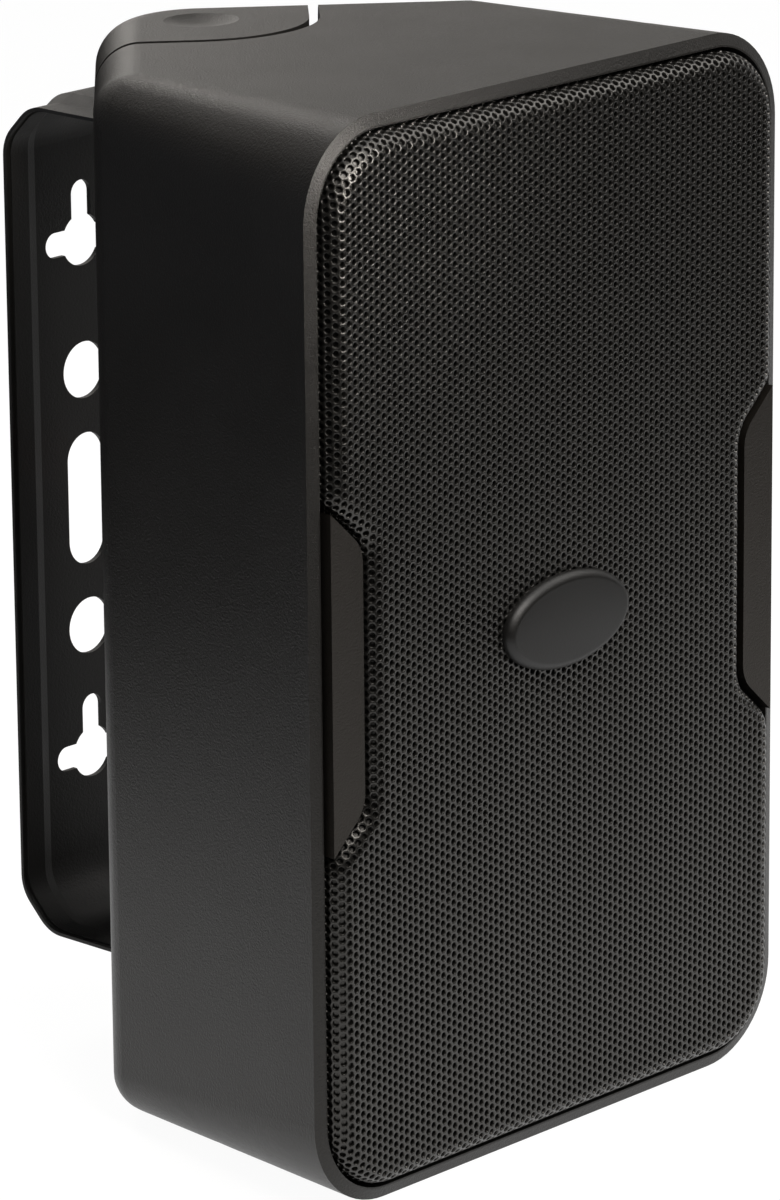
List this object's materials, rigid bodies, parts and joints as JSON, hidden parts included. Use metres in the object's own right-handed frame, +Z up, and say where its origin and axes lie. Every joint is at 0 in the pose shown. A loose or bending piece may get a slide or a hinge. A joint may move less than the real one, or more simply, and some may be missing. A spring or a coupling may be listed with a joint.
{
  "type": "outdoor patio speaker",
  "caption": "Tapered weatherproof speaker with a perforated metal grille, on a C-shaped swivel wall bracket with keyholes and a cable slot.",
  "frame": {"origin": "centre of the bounding box in plan, at the bottom of the enclosure", "axes": "+Z up along the swivel axis, +Y to the wall, -Y out of the grille"},
  "size_m": [0.1532, 0.1532, 0.2428],
  "materials": {
    "shell": "fine moulded texture",
    "cap": "fine moulded texture",
    "bracket": "satin powder coat",
    "grille": "satin powder coat",
    "badge": "satin",
    "foam": "matte",
    "rubber": "matte",
    "steel": "zinc plated",
    "brass": "plated",
    "nylon": "matte",
    "frame": "satin",
    "cone": "matte",
    "aluminium": "satin",
    "copper": "enamelled wire",
    "cloth": "impregnated",
    "ferrite": "ground",
    "board": "satin",
    "red": "gloss",
    "black": "gloss",
    "white": "matte",
    "wire": "matte",
    "wool": "soft"
  },
  "bodies": {
    "bracket": {"bracket": "bracket"},
    "speaker": {"enclosure": "shell", "pivot_cap_top": "cap", "pivot_cap_bottom": "cap", "grille": "grille", "badge": "badge", "badge_clip": "steel", "baffle": "shell", "baffle_gasket": "foam", "baffle_screw": "steel", "pivot_bolt": "steel", "pivot_insert": "brass", "pivot_washer": "nylon", "woofer_basket": "frame", "woofer_gasket": "foam", "woofer_screw": "steel", "woofer_surround": "rubber", "woofer_spider": "cloth", "woofer_plate": "steel", "woofer_magnet": "ferrite", "woofer_yoke": "steel", "woofer_tag": "board", "tweeter_horn": "shell", "tweeter_dome": "aluminium", "tweeter_plate": "steel", "tweeter_magnet": "ferrite", "tweeter_yoke": "steel", "tweeter_tag": "board", "tweeter_screw": "steel", "terminal_panel": "shell", "terminal_gasket": "foam", "terminal_stud": "brass", "terminal_screw": "steel", "terminal_clamp_red": "red", "terminal_clamp_black": "black", "crossover_board": "board", "crossover_coil": "copper", "crossover_capacitor": "black", "crossover_resistor": "white", "board_nut": "brass", "wire_woofer": "wire", "wire_tweeter": "wire", "wadding": "wool"},
    "cone": {"woofer_cone": "cone", "woofer_dust_cap": "cone", "woofer_former": "aluminium", "woofer_winding": "copper"}
  },
  "joints": [
    {"name": "swivel", "type": "hinge", "parent": "bracket", "child": "speaker", "pos_m": [0, 0.0359, 0.1214], "axis": [0, 0, 1], "range_deg": [-40, 40]},
    {"name": "cone_travel", "type": "slide", "parent": "speaker", "child": "cone", "axis": [0, 1, 0], "range_m": [-0.0025, 0.0025], "stiffness_N_per_m": 1000, "deforming": ["woofer_surround", "woofer_spider"]}
  ]
}
